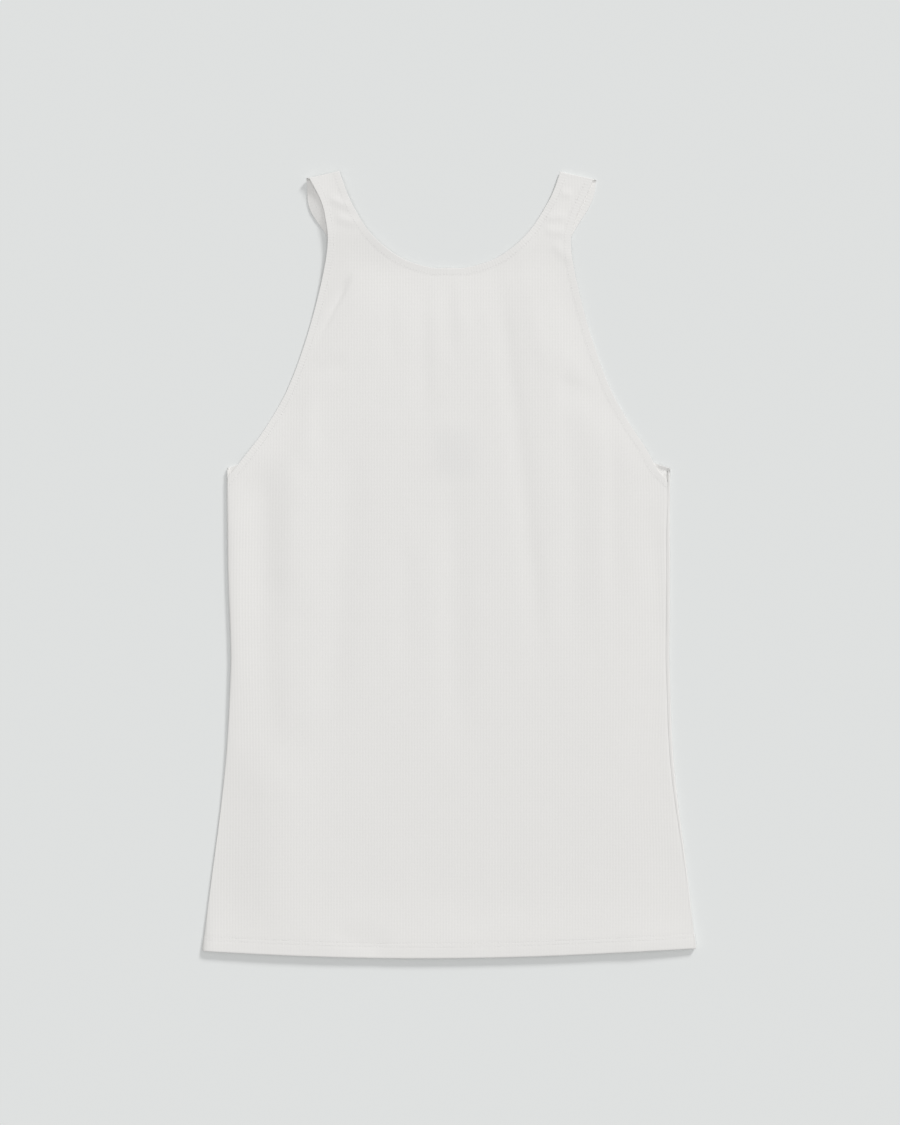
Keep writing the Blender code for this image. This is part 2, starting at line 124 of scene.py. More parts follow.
# Soft troughs and ridges of the front: a line in plan with x to the right, how far its
# middle bows to the left of the way it runs, its half widths to the left and right of
# that way, and the height that it adds.
Crease = namedtuple("Crease", "x0 up0 x1 up1 bow wide_left wide_right rise")
CREASES = [Crease(*row) for row in (
    # Hanging from the front scoop.
    (-20, 545, -19, 440, 0, 6, 10, -0.4),
    (-1, 545, 1, 485, 0, 6, 8, -0.4),
    (9, 545, 9, 505, 0, 7, 5, 0.3),
    (38, 550, 70, 270, 2, 8, 10, -0.65),
    (62, 550, 75, 480, 0, 12, 10, 0.4),
    (-48, 550, -46, 480, 0, 6, 6, -0.2),
    # Down the middle of the body.
    (3, 375, 4, 190, 0, 14, 11, -0.7),
    (-36, 330, -34, 235, 0, 9, 10, -0.3),
    (-78, 410, -94, 190, 0, 14, 14, -0.7),
    (97, 440, 99, 260, 3, 14, 11, -0.6),
    (131, 420, 131, 290, 0, 9, 6, -0.4),
    (163, 345, 166, 250, 0, 6, 9, -0.3),
    # Along the left side.
    (-178, 370, -176, 210, 0, 20, 20, 1.1),
    (-149, 385, -147, 285, 0, 10, 14, -0.9),
    (-148, 285, -143, 180, 0, 8, 12, -0.3),
    (-124, 400, -125, 290, 0, 18, 11, 1.1),
    (-126, 290, -127, 190, 0, 16, 9, 0.4),
    (-115, 470, -113, 400, 0, 9, 12, 0.8),
    # The left side falls towards the hem.
    (-186, 150, -192, 15, 0, 34, 12, -1.3),
    (-136, 150, -140, 30, 0, 30, 24, 1.2),
    # From the left strap to its armhole.
    (-82, 539, -105, 495, 0, 2.4, 4.0, -2.3),
    (-88, 555, -108, 510, 0, 4, 4, -0.4),
    (-120, 470, -85, 473, 0, 9, 7, -0.4),
    # Over the right armhole.
    (90, 459, 118, 450, 0, 8, 13, -0.7),
    (88, 482, 112, 474, 0, 14, 8, 0.2),
    (80, 545, 90, 500, 0, 10, 8, 0.3),
    # Across the straps.
    (-122, 660, -99, 560, 0, 12, 12, 0.4),
    (-96, 607, -80, 600, 0, 3.5, 3.5, 0.4),
    (-90, 592, -74, 587, 0, 4, 4, 0.4),
    (80, 603, 64, 572, 0, 4, 4, -0.4),
    (88, 612, 96, 611, 0, 3.5, 3.5, 0.3),
    (78, 592, 92, 593, 0, 4, 3.5, 0.3),
    (78, 582, 92, 580, 0, 4, 4, 0.3),
    (84, 570, 97, 557, 0, 5, 4, 0.4),
    # At the hem.
    (-90, 20, -52, 8, 0, 13, 9, -0.5),
    (140, 3, 192, 8, 0, 15, 10, 0.5),
    (186, 185, 190, 30, 0, 40, 34, 0.35),
    (0, 30, 60, 45, 0, 20, 14, -0.3),
)]
# Shallower ones of the back, all ridges, because it lies on the floor.
BACK_CREASES = [Crease(*row) for row in (
    (-70, 335, -84, 120, 4, 9, 13, 0.3),
    (40, 350, 47, 165, -3, 8, 10, 0.25),
    (112, 300, 123, 85, 0, 13, 8, 0.3),
    (-138, 235, -147, 70, 3, 10, 11, 0.25),
    (-14, 255, -10, 95, 0, 9, 7, 0.2),
    (74, 384, 95, 325, 0, 8, 6, 0.22),
    (-48, 430, -60, 365, 0, 6, 8, 0.2),
)]
CREASE_FADE = 0.22  # share of a crease over which it comes and goes at either end
# Broad rises and falls of the front: over the label, along the right side and the hem, up
# the straps, and at the right underarm.
LABEL_LIFT, LABEL_REACH = 0.2, 22.0
RIGHT_LIFT, RIGHT_LIFT_REACH = -0.9, 32.0
HEM_LIFT, HEM_LIFT_REACH = 1.8, 34.0
LEFT_STRAP_LIFT, RIGHT_STRAP_LIFT = 1.8, -1.05
STRAP_LIFT_START, STRAP_LIFT_END = 530.0, 618.0
UNDERARM, UNDERARM_REACH, UNDERARM_DROP = (176.0, 384.0), (26.0, 20.0), 0.2
# Uneven swells of the front: how high, how wide, and by how much they shorten the way up.
Swell = namedtuple("Swell", "rise size squeeze seed")
SWELLS = [Swell(0.07, 26.0, 0.45, 3.0), Swell(0.03, 9.0, 0.6, 7.0)]
# The back's binding stands up at the right underarm: by how much, and how far along and in.
PERK, PERK_REACH, PERK_DEPTH = 1.3, 12.0, 3.7
# The back's left strap climbs from its armhole edge to the raised front strap: by how much,
# over what width, and the heights above the hem between which this comes in.
LEAN, LEAN_RUN, LEAN_START, LEAN_FULL = 2.5, 7.5, 562.0, 592.0
# Where no back lies under them, the front's edges sink to the floor: their height there,
# how fully they take it, how far in this reaches, and the heights above the hem between
# which it comes and goes.
Sink = namedtuple("Sink", "rest share reach start full leave end")
ARMHOLE_SINK = Sink(1.0, 1.0, 24.0, 385.0, 440.0, 500.0, 580.0)
NECK_SINK = Sink(0.8, 0.75, 34.0, 0.0, 1.0, 545.0, 582.0)

# The laid garment isn't quite even: each row moves the cloth round a place.
Nudge = namedtuple("Nudge", "x up reach_x reach_up dx dup")
BACK_NUDGES = [Nudge(*row) for row in (
    (177, 250, 40, 90, 3.8, 0.0),
    (190, 70, 40, 60, 1.8, 0.0),
    (-176, 290, 40, 100, -2.4, 0.0),
    (-192, 50, 40, 60, -1.0, 0.0),
    (-60, -5, 140, 60, 0.0, -1.6),
    (190, -5, 90, 60, 0.0, 1.5),
    (112, 612, 30, 26, 2.5, -0.7),
    (-108, 599, 14, 18, -4.8, -0.8),
    (102, 612, 26, 24, 3.4, -0.7),
)]
FRONT_NUDGES = BACK_NUDGES[:-2] + [
    Nudge(-107, 608, 16, 24, 2.6, 0.0), Nudge(164, 392, 18, 13, -0.6, -4.2),
]
# On the right the side seam has rolled over on to the front.
ROLL, ROLL_LEAST, ROLL_START, ROLL_FULL = 2.4, 0.3, 20.0, 170.0
ROLL_TAPER = 60.0 / 175  # of the half width, over which the front gives way to it
ROLL_UNDERARM, ROLL_UNDERARM_START, ROLL_UNDERARM_END = 0.5, 335.0, 368.0
ROLL_FADE_START, ROLL_FADE_END = 386.0, 410.0
ROLL_COLUMNS = 7
ROLL_PARTS = (np.arange(1, ROLL_COLUMNS + 1) / ROLL_COLUMNS) ** 1.5  # closer at the edge
SEAM_SINK, SEAM_SINK_WIDTH = 0.18, 1.3  # the rolled seam lies in a shallow groove
SEAM_SINK_START, SEAM_SINK_FULL = 0.6, 2.4  # in from the edge, where the groove comes in

STITCH_LENGTH, STITCH_PITCH = 2.0, 2.7
STITCH_WIDTH, STITCH_HEIGHT = 0.42, 0.12
STITCH_RISE = STITCH_HEIGHT * 0.1  # a stitch's middle above the cloth
STITCH_FIRST = 0.75  # pitches from the start of a run to its first stitch
STITCH_AHEAD = 0.5  # a stitch points at the place this far on
STITCH_GROOVE, STITCH_GROOVE_WIDTH = 0.12, 0.8  # the rows press the hem thin
HEM_STITCH_SHARES = np.linspace(0, 0.99, 130)  # they end short of the side seams
BAND_ENDS = 4  # rows at either end of a binding that carry no stitches


# ---- plan curves ----

def smooth_line(knots):
    """Points about 1 mm apart on a curve through the knots, even across the centre line."""
    knots = np.array(knots, float)
    before = 2 * knots[0] - knots[1]
    if knots[0][0] == 0:
        before = knots[1] * (-1, 1)
    after = 2 * knots[-1] - knots[-2]
    padded = np.vstack([before, knots, after])
    line = []
    for a, b, c, d in zip(padded, padded[1:], padded[2:], padded[3:]):
        pieces = max(2, round(np.linalg.norm(c - b)))
        t = np.arange(pieces)[:, None] / pieces
        bend = (2 * a - 5 * b + 4 * c - d) * t * t + (3 * b - a - 3 * c + d) * t**3
        line.append(b + ((c - a) * t + bend) / 2)
    return np.vstack(line + [knots[-1:]])


def lengths_along(line):
    steps = np.linalg.norm(np.diff(line, axis=0), axis=1)
    return np.concatenate([[0.0], np.cumsum(steps)])


def read_along(rows, along, wanted):
    """Rows read off at wanted lengths along the line that they belong to."""
    return np.stack([np.interp(wanted, along, column) for column in rows.T], axis=-1)


def at(line, shares):
    """Points at shares, from 0 to 1, of a line's length."""
    along = lengths_along(line)
    return read_along(line, along, np.asarray(shares, float) * along[-1])


def square_to(line):
    """Unit vectors to the left of the way a line runs."""
    ahead = unit(np.gradient(line, axis=0))
    return np.stack([-ahead[:, 1], ahead[:, 0]], axis=1)


def smooth_step(value, start, end):
    """0 up to the start and 1 from the end, with a soft rise between them."""
    t = np.clip((np.asarray(value, float) - start) / (end - start), 0, 1)
    return t * t * (3 - 2 * t)


def hill(*shares):
    """1 at a place, fading round it; each share is a distance over its reach."""
    return np.exp(-sum(share**2 for share in shares))


def unit(vectors):
    return vectors / np.linalg.norm(vectors, axis=-1, keepdims=True)


SIDE_LINE = smooth_line([(x - FOLD_IN, up) for x, up in SIDE_SEAM])
ARMHOLE_LINE, NECK_LINE = smooth_line(FRONT_ARMHOLE), smooth_line(FRONT_NECK)
BACK_ARMHOLE_LINE, BACK_NECK_LINE = smooth_line(BACK_ARMHOLE), smooth_line(BACK_NECK)
SHOULDER_IN = np.array(FRONT_NECK[-1]) - (0, FOLD_IN)
SHOULDER_OUT = np.array(FRONT_ARMHOLE[-1]) - (0, FOLD_IN)
SHOULDER = unit(SHOULDER_OUT - SHOULDER_IN)
SHOULDER_UP = np.array([-SHOULDER[1], SHOULDER[0]])


def side_out(up):
    """Half width between the side seams at a height above the hem."""
    return np.interp(up, SIDE_LINE[:, 1], SIDE_LINE[:, 0])


def to_side(plan):
    """How far places lie in from the side seam of their half."""
    return side_out(plan[..., 1]) - np.abs(plan[..., 0])


def to_shoulder(plan):
    """How far places lie in from the shoulder fold of their half."""
    folded = np.stack([np.abs(plan[..., 0]), plan[..., 1]], axis=-1)
    return (SHOULDER_IN - folded) @ SHOULDER_UP


def distance_to(line, plan):
    """Distances from places in plan to an outline, on either half."""
    points = plan.reshape(-1, 2)
    nearest = np.full(len(points), 1e9)
    for part in np.array_split(line, 8):
        apart = np.abs(points[:, None, 0]) - part[None, :, 0]
        away = points[:, None, 1] - part[None, :, 1]
        nearest = np.minimum(nearest, np.sqrt((apart**2 + away**2).min(axis=1)))
    return nearest.reshape(plan.shape[:-1])


def crossing(line, keep, inside, outside):
    """The place between two points of a line where keep falls to 0."""
    part = keep[inside] / (keep[inside] - keep[outside])
    return line[inside] * (1 - part) + line[outside] * part


def seam_line(knots, to_cloth, inset):
    """An outline moved into the cloth, between the folded edges.

    The cloth lies to the left of an armhole (to_cloth 1) and to the right of a neck (-1).
    """
    line = smooth_line(knots)
    if knots[0][0] > 0:
        line = np.vstack([2 * line[0] - line[RUN_ON], line])
    line = np.vstack([line, 2 * line[-1] - line[-1 - RUN_ON]])
    line = line + square_to(line) * to_cloth * inset
    keep = np.minimum(to_side(line), to_shoulder(line))
    inside = np.flatnonzero(keep > 0)
    first, last = inside[0], inside[-1]
    kept = [line[first:last + 1]]
    if first > 0:
        kept.insert(0, crossing(line, keep, first, first - 1))
    if last < len(line) - 1:
        kept.append(crossing(line, keep, last, last + 1))
    return np.vstack(kept)


# ---- plan grids ----

def even_shares(start, end, parts):
    """Shares from start to end in equal parts, without the start."""
    return start + (end - start) * np.arange(1, parts + 1) / parts


def strap_shares(line, leave, rows):
    """Shares of a seam line for the rows of a strap, closer where it folds over."""
    stops = 1 - FOLD_STOPS / lengths_along(line)[-1]
    return np.concatenate([even_shares(leave, stops[0], rows), stops[1:]])


def armhole_shares(line, cut):
    """Shares of an armhole's seam line for its rows, closer at the folds of its ends."""
    length = lengths_along(line)[-1]
    slant = abs((line[1] - line[0])[0]) / np.linalg.norm(line[1] - line[0])
    stops = FOLD_STOPS[::-1] / slant / length
    body = even_shares(stops[-1], cut.arm_leave, cut.arm_rows)
    return np.concatenate([stops, body, strap_shares(line, cut.arm_leave, cut.strap_rows)])


def hem_curve(out):
    """The hem hangs a little lower in the middle."""
    return SIDE_SEAM[0][1] * (out / SIDE_SEAM[0][0]) ** 2


class HalfPanel:
    """Plan points of the right half of a panel: its body, and its strap."""

    def __init__(self, cut):
        self.cut = cut
        self.neck = seam_line(cut.neck, -1, EDGE_IN)
        self.armhole = seam_line(cut.armhole, 1, EDGE_IN)
        self.edges = [smooth_line(cut.neck), smooth_line(cut.armhole)]
        self.split = cut.neck_columns / (cut.neck_columns + cut.strap_columns)
        self.strap_in = at(self.neck, cut.neck_leave)
        self.strap_out = at(self.armhole, cut.arm_leave)
        self.underarm = self.armhole[0][1]
        self.top = self.neck[0][1]
        self.hem_half = side_out(SIDE_SEAM[0][1])

    def shares(self, past_side):
        """Where a row's columns lie; they crowd at the side seam, and spread above it."""
        cut = self.cut
        inner = self.split * np.arange(cut.neck_columns + 1) / cut.neck_columns
        even = even_shares(self.split, 1.0, cut.strap_columns)
        edge = 1 - FOLD_STOPS / BODY_HALF
        plain = cut.strap_columns + 1 - len(edge)
        crowded = np.concatenate([even_shares(self.split, edge[0], plain), edge[1:]])
        return np.concatenate([inner, crowded + (even - crowded) * past_side])

    def row(self, up, end, shares):
        """A row blended between hem, centre line, side with armhole, and neck."""
        rise = up / self.top
        s = shares[:, None]
        low_x = self.hem_half * shares
        low = np.stack([low_x, hem_curve(low_x)], axis=1)
        inner = np.minimum(shares / self.split, 1) * self.cut.neck_leave
        outer = np.clip((shares - self.split) / (1 - self.split), 0, 1)[:, None]
        strap = self.strap_in * (1 - outer) + self.strap_out * outer
        high = np.where(s <= self.split, at(self.neck, inner), strap)
        across = np.array([0.0, up]) * (1 - s) + end * s
        hem_end = np.array([self.hem_half, hem_curve(self.hem_half)])
        corner = hem_end * (1 - rise) + self.strap_out * rise
        corners = np.array([0.0, up]) * (1 - s) + corner * s
        return low * (1 - rise) + high * rise + across - corners

    def side_point(self, up):
        """The end of the row that is this far above the hem's edge."""
        height = up + SIDE_SEAM[0][1] * (1 - up / self.underarm)
        return np.array([side_out(height), height])

    def body_heights(self):
        """Heights of the rows at the centre line, from the hem to the underarm's row."""
        plain = round((self.underarm - HEM_ROWS[-1]) / self.cut.row)
        rest = even_shares(HEM_ROWS[-1], self.underarm, plain)
        return np.concatenate([HEM_ROWS, rest])

    def body(self):
        """Rows up to the underarm, and those on to the neck and strap."""
        low = [self.row(up, self.side_point(up), self.shares(0)) for up in self.body_heights()]
        rows = len(FOLD_STOPS) - 1 + self.cut.arm_rows
        arm = armhole_shares(self.armhole, self.cut)
        high = []
        for i in range(1, rows + 1):
            up = self.underarm + (self.top - self.underarm) * i / rows
            shares = self.shares(smooth_step(i, 0, rows))
            high.append(self.row(up, at(self.armhole, arm[i]), shares))
        return low, high

    def strap(self):
        """Rows across the strap, from where it leaves the body to the shoulder."""
        cut = self.cut
        inner, outer = (
            at(line, strap_shares(line, leave, cut.strap_rows))
            for line, leave in ((self.neck, cut.neck_leave), (self.armhole, cut.arm_leave))
        )
        parts = np.arange(cut.strap_columns + 1)[:, None] / cut.strap_columns
        return [a * (1 - parts) + b * parts for a, b in zip(inner, outer)]


def both_halves(row):
    """A row of the right half, with its mirror image before it."""
    return np.vstack([row[:0:-1] * (-1, 1), row])


# ---- heights of the two layers ----

def rounded(height, end, distance, run=FOLD_RUN):
    """Height near a folded edge: it drops or rises to `end` in a quarter round."""
    part = 1 - np.clip(distance / run, 0, 1)
    return end + (height - end) * np.sqrt(np.clip(1 - part * part, 0, 1))


def crease_rise(crease, plan):
    """Height of one trough or ridge: round across its line, fading at its ends."""
    start = np.array([crease.x0, crease.up0], float)
    run = np.array([crease.x1, crease.up1]) - start
    length = np.linalg.norm(run)
    ahead = run / length
    left = np.array([-ahead[1], ahead[0]])
    along = (plan - start) @ ahead / length
    off = (plan - start) @ left - crease.bow * 4 * along * (1 - along)
    wide = np.where(off > 0, crease.wide_left, crease.wide_right)
    ends = smooth_step(along, -CREASE_FADE, CREASE_FADE)
    ends = ends * (1 - smooth_step(along, 1 - CREASE_FADE, 1 + CREASE_FADE))
    return crease.rise * ends * hill(off / wide)


def soft_noise(plan, size, seed):
    """Uneven swells from -1 to 1, about `size` across."""
    flat = plan.reshape(-1, 2) / size
    swells = [noise.noise(Vector((x, up, seed))) for x, up in flat.tolist()]
    return np.array(swells).reshape(plan.shape[:-1])


def nudged(plan, nudges):
    """Places in plan, moved by a table of nudges."""
    moved = plan.copy()
    for n in nudges:
        share = hill((plan[..., 0] - n.x) / n.reach_x, (plan[..., 1] - n.up) / n.reach_up)
        moved += share[..., None] * (n.dx, n.dup)
    return moved


def roll(up):
    """How far the right side seam lies in from the edge, on the front."""
    full = ROLL_LEAST + (ROLL - ROLL_LEAST) * smooth_step(up, ROLL_START, ROLL_FULL)
    underarm = smooth_step(up, ROLL_UNDERARM_START, ROLL_UNDERARM_END)
    full = full * (1 - (1 - ROLL_UNDERARM) * underarm)
    return full * (1 - smooth_step(up, ROLL_FADE_START, ROLL_FADE_END))


def side_seam(plan):
    """Height of the side seam of each place's half."""
    climb = smooth_step(plan[..., 1], LEFT_SEAM_START, LEFT_SEAM_FULL)
    left = LEFT_SEAM_LOW + (LEFT_SEAM - LEFT_SEAM_LOW) * climb
    return np.where(plan[..., 0] < 0, left, RIGHT_SEAM)


def sunk(height, plan, line, sink):
    """Height of the front where one of its edges has sunk to the floor."""
    near = sink.share * hill(distance_to(line, plan) / sink.reach)
    span = smooth_step(plan[..., 1], sink.start, sink.full)
    near = near * span * (1 - smooth_step(plan[..., 1], sink.leave, sink.end))
    return height + (sink.rest - height) * near


def front_level(plan):
    """Height of the front before its seams draw it in."""
    height = FRONT_REST + sum(crease_rise(crease, plan) for crease in CREASES)
    across = (plan[..., 0] - LABEL_SHIFT) / LABEL_REACH
    along = (plan[..., 1] - LABEL_TOP + LABEL_HEIGHT / 2) / LABEL_REACH
    height += LABEL_LIFT * hill(across, along)
    side = np.clip(to_side(plan), 0, None)
    lift = np.where(plan[..., 0] < 0, 0, RIGHT_LIFT)
    height += lift * hill(side / RIGHT_LIFT_REACH)
    height += HEM_LIFT * hill(plan[..., 1] / HEM_LIFT_REACH)
    lift = np.where(plan[..., 0] < 0, LEFT_STRAP_LIFT, RIGHT_STRAP_LIFT)
    height += lift * smooth_step(plan[..., 1], STRAP_LIFT_START, STRAP_LIFT_END)
    corner = (plan - UNDERARM) / UNDERARM_REACH
    height -= UNDERARM_DROP * hill(corner[..., 0], corner[..., 1])
    height = sunk(height, plan, ARMHOLE_LINE, ARMHOLE_SINK)
    height = sunk(height, plan, NECK_LINE, NECK_SINK)
    for swell in SWELLS:
        uneven = soft_noise(plan * (1, swell.squeeze), swell.size, swell.seed)
        height += swell.rise * uneven
    return height


def front_surface(plan):
    """Middle of the front's wall above the floor."""
    height = front_level(plan)
    side = to_side(plan)
    left = plan[..., 0] < 0
    end = height - TOP_SEAM_DROP + SEAM_SPLIT
    groove = hill((side - roll(plan[..., 1])) / SEAM_SINK_WIDTH)
    inside = smooth_step(side, SEAM_SINK_START, SEAM_SINK_FULL)
    height -= np.where(left, 0, SEAM_SINK) * groove * inside
    run = np.where(left, LEFT_RUN, RIGHT_RUN)
    height = rounded(height, side_seam(plan) + SEAM_SPLIT, side, run)
    return rounded(height, end, to_shoulder(plan), TOP_RUN)


def above_hem(plan):
    """Height above the hem's edge, which hangs lower in the middle."""
    return plan[..., 1] - hem_curve(np.abs(plan[..., 0]))


def hem_extra(plan):
    """What the turned hem adds to the jersey's wall."""
    above = smooth_step(above_hem(plan), HEM_DEPTH - HEM_STEP_IN, HEM_DEPTH + HEM_STEP_OUT)
    return (HEM_WALL - JERSEY) * (1 - above)


def panel_wall(plan):
    """Wall of a panel: thicker in its hem, pressed thin under the hem's stitches."""
    up = above_hem(plan)
    rows = [(up - row) / STITCH_GROOVE_WIDTH for row in HEM_STITCH_ROWS]
    wall = JERSEY + hem_extra(plan) - sum(STITCH_GROOVE * hill(row) for row in rows)
    edge = np.clip(up / HEM_ROUND, 0, 1)
    return wall * (HEM_EDGE + (1 - HEM_EDGE) * np.sqrt(np.clip(1 - (1 - edge) ** 2, 0, 1)))


def pressed(plan, edges):
    """Share of its wall that the jersey keeps, less inside a binding."""
    near = np.minimum.reduce([distance_to(line, plan) for line in edges])
    free = smooth_step(near, BAND_WIDTH - PRESSED_IN, BAND_WIDTH + PRESSED_OUT)
    return PRESSED + (1 - PRESSED) * free


def front_place(plan):
    """Plan and height of the front as it lies."""
    right = np.clip(plan[..., 0] / side_out(plan[..., 1]), 0, 1)
    shift = roll(plan[..., 1]) * smooth_step(right, 1 - ROLL_TAPER, 1)
    rolled = plan - np.stack([shift, 0 * shift], axis=-1)
    height = front_surface(rolled) - hem_extra(plan) / 2
    return np.dstack([nudged(rolled, FRONT_NUDGES), height])


def over_roll(plan):
    """The part of the back that has rolled over on to the front."""
    return np.dstack([nudged(plan, BACK_NUDGES), front_surface(plan)])


def back_surface(plan):
    """Middle of the back's wall above the floor, before its binding lifts it."""
    height = FLOOR_GAP + (JERSEY + hem_extra(plan)) / 2
    height += sum(crease_rise(crease, plan) for crease in BACK_CREASES)
    lean = np.clip(distance_to(BACK_ARMHOLE_LINE, plan) / LEAN_RUN, 0, 1)
    lean = lean * smooth_step(plan[..., 1], LEAN_START, LEAN_FULL)
    height += LEAN * np.where(plan[..., 0] < 0, lean, 0)
    height = rounded(height, side_seam(plan) - SEAM_SPLIT, to_side(plan))
    end = front_level(plan) - TOP_SEAM_DROP - SEAM_SPLIT
    return rounded(height, end, to_shoulder(plan))


def back_place(plan):
    """Plan and height of the back, which lies on the floor and rises into its binding."""
    to_armhole = distance_to(BACK_ARMHOLE_LINE, plan)
    near = np.minimum(to_armhole, distance_to(BACK_NECK_LINE, plan))
    lift = BAND_LIFT * (1 - smooth_step(near, BAND_WIDTH, BAND_WIDTH + BAND_LIFT_RUN))
    flat = smooth_step(np.minimum(to_side(plan), to_shoulder(plan)), 0, FOLD_CLEAR)
    height = back_surface(plan) + lift * flat
    perk = hill((plan[..., 0] - UNDERARM[0]) / PERK_REACH)
    perk = perk * (1 - smooth_step(to_armhole, 0, PERK_DEPTH))
    height += PERK * np.where(plan[..., 0] > 0, perk, 0)
    inset = TOP_INSET * (1 - smooth_step(to_shoulder(plan), 0, FOLD_CLEAR))
    tucked = plan - inset[..., None] * (0, 1)
    return np.dstack([nudged(tucked, BACK_NUDGES), height])


# ---- meshes ----

def new_piece(name, points, faces, material, uvs=None):
    """An object from points in millimetres; its origin is the middle of the garment."""
    mesh = bpy.data.meshes.new(name)
    places = (np.asarray(points, float) - (0, LENGTH / 2, 0)) * MM
    mesh.from_pydata(places.tolist(), [], faces)
    if uvs is not None:
        layer = mesh.uv_layers.new(name="knit")
        corners = np.zeros(len(mesh.loops), int)
        mesh.loops.foreach_get("vertex_index", corners)
        layer.data.foreach_set("uv", (np.asarray(uvs)[corners] * MM).ravel())
    mesh.shade_smooth()
    mesh.materials.append(material)
    piece = bpy.data.objects.new(name, mesh)
    bpy.context.scene.collection.objects.link(piece)
    return piece


class Sheet:
    """Rows of points of a cloth, with its flat coordinates and its wall at each point."""

    def __init__(self):
        self.points, self.flat, self.walls, self.faces = [], [], [], []
        self.count = 0

    def add_row(self, points, flat, walls):
        """Adds a row, and returns the numbers of its points."""
        first = self.count
        self.count += len(points)
        self.points.append(points)
        self.flat.append(flat)
        self.walls.append(np.broadcast_to(walls, len(points)))
        return np.arange(first, self.count)

    def bridge(self, low, high):
        quads = np.stack([low[:-1], low[1:], high[1:], high[:-1]], axis=1)
        self.faces += quads.tolist()

    def add_rows(self, points, flat, walls, last=None):
        """Adds rows, each joined to the one before it, and returns their numbers."""
        rows = []
        for row in zip(points, flat, walls):
            rows.append(self.add_row(*row))
            if last is not None:
                self.bridge(last, rows[-1])
            last = rows[-1]
        return rows

    def build(self, name, material):
        """The piece, with each point's wall given to the cloth by a vertex group."""
        walls = np.concatenate(self.walls)
        full = walls.max()
        points, flat = np.vstack(self.points), np.vstack(self.flat)
        piece = new_piece(name, points, self.faces, material, flat)
        group = piece.vertex_groups.new(name="wall")
        shares = np.round(walls / full, 3)
        for share in np.unique(shares):
            group.add(np.flatnonzero(shares == share).tolist(), float(share), "REPLACE")
        solid = piece.modifiers.new("Wall", "SOLIDIFY")
        solid.thickness = full * MM
        solid.offset = 0.0
        solid.vertex_group = group.name
        bpy.ops.object.select_all(action="DESELECT")
        piece.select_set(True)
        bpy.context.view_layer.objects.active = piece
        bpy.ops.object.modifier_apply(modifier=solid.name)
        piece.vertex_groups.clear()
        return piece


def make_panel(name, half, place, material, rolled=None):
    """A front or back with its two straps; rolled adds the part past the right side."""
    low, high = half.body()
    sheet = Sheet()
    grid = np.array([both_halves(row) for row in low + high])
    walls = panel_wall(grid) * pressed(grid, half.edges)
    rows = sheet.add_rows(place(grid), grid, walls)
    columns = half.cut.strap_columns + 1
    right = np.array(half.strap())
    left = right[:, ::-1] * (-1, 1)
    for strap, start in ((left, rows[-1][:columns]), (right, rows[-1][-columns:])):
        walls = JERSEY * pressed(strap, half.edges)
        sheet.add_rows(place(strap), strap, walls, start)
    if rolled:
        edge = grid[:len(low), -1]
        shift = roll(edge[:, 1])[:, None] * ROLL_PARTS
        strip = np.dstack([edge[:, :1] - shift, np.broadcast_to(edge[:, 1:], shift.shape)])
        # Its knit runs on past the side seam, as if it were unrolled.
        flat = 2 * edge[0] * (1, 0) - strip * (1, -1)
        last = None
        for start, row in zip(rows, zip(rolled(strip), flat, panel_wall(strip))):
            joined = np.concatenate([start[-1:], sheet.add_row(*row)])
            if last is not None:
                sheet.bridge(last, joined)
            last = joined
    return sheet.build(name, material)


def flat_area(half):
    """Area in square metres of a panel's cut, from its plan."""
    low, high = half.body()
    total = 0.0
    for grid in (np.array(low + high), np.array(half.strap())):
        # A quad is half the cross product of its diagonals.
        a = grid[1:, 1:] - grid[:-1, :-1]
        b = grid[1:, :-1] - grid[:-1, 1:]
        total += np.abs(a[..., 0] * b[..., 1] - a[..., 1] * b[..., 0]).sum() / 2
    return 2 * total * MM * MM


# ---- bindings ----

# Across a leg of the folded strip, from its inner edge: distance out, distance from the
# middle, and wall. The stitches press it thin near its inner edge.
Lane = namedtuple("Lane", "out off wall")
BAND_LANES = [
    Lane(0.0, 0.31, 0.1), Lane(0.08, 0.31, 0.1), Lane(0.6, 0.325, 0.1), Lane(1.3, 0.335, 0.1),
    Lane(2.1, 0.35, 0.11), Lane(3.2, 0.365, 0.13), Lane(4.2, 0.375, 0.14),
    Lane(BAND_WIDTH - BAND_TURN - 0.1, BAND_HALF, BINDING),
    Lane(BAND_WIDTH - BAND_TURN, BAND_HALF, BINDING),
]
TURN_LENGTH = np.pi * (BAND_HALF + BAND_TURN) / 2
TURN_ANGLES = np.radians([68, 45, 22, 0, -22, -45, -68])
BAND_STITCH_LANE = 3  # its stitches lie in this one of its lanes
BAND_STEP = 1.9  # about how far apart its rows lie
# A binding leaves a fold square to it, and swings round to its seam line between these.
SWING_START, SWING_END = FOLD_RUN * 1.5, BAND_WIDTH * 4


def band_frames(line, shares, out_side, start_fold, end_fold):
    """Points of a seam line, and vectors out of the cloth that run along any fold there."""
    length = lengths_along(line)[-1]
    points = at(line, shares)
    before, after = (at(line, np.clip(shares + step / length, 0, 1)) for step in (-1, 1))
    ahead = unit(after - before)
    out = np.stack([ahead[:, 1], -ahead[:, 0]], axis=1) * out_side
    for fold, reach in ((start_fold, shares * length), (end_fold, (1 - shares) * length)):
        if fold is not None:
            turn = smooth_step(reach, SWING_START, SWING_END)[:, None]
            out = np.array(fold) * (1 - turn) + out * turn
    square = np.abs(out[:, 0] * ahead[:, 1] - out[:, 1] * ahead[:, 0])
    return points, out / square[:, None]


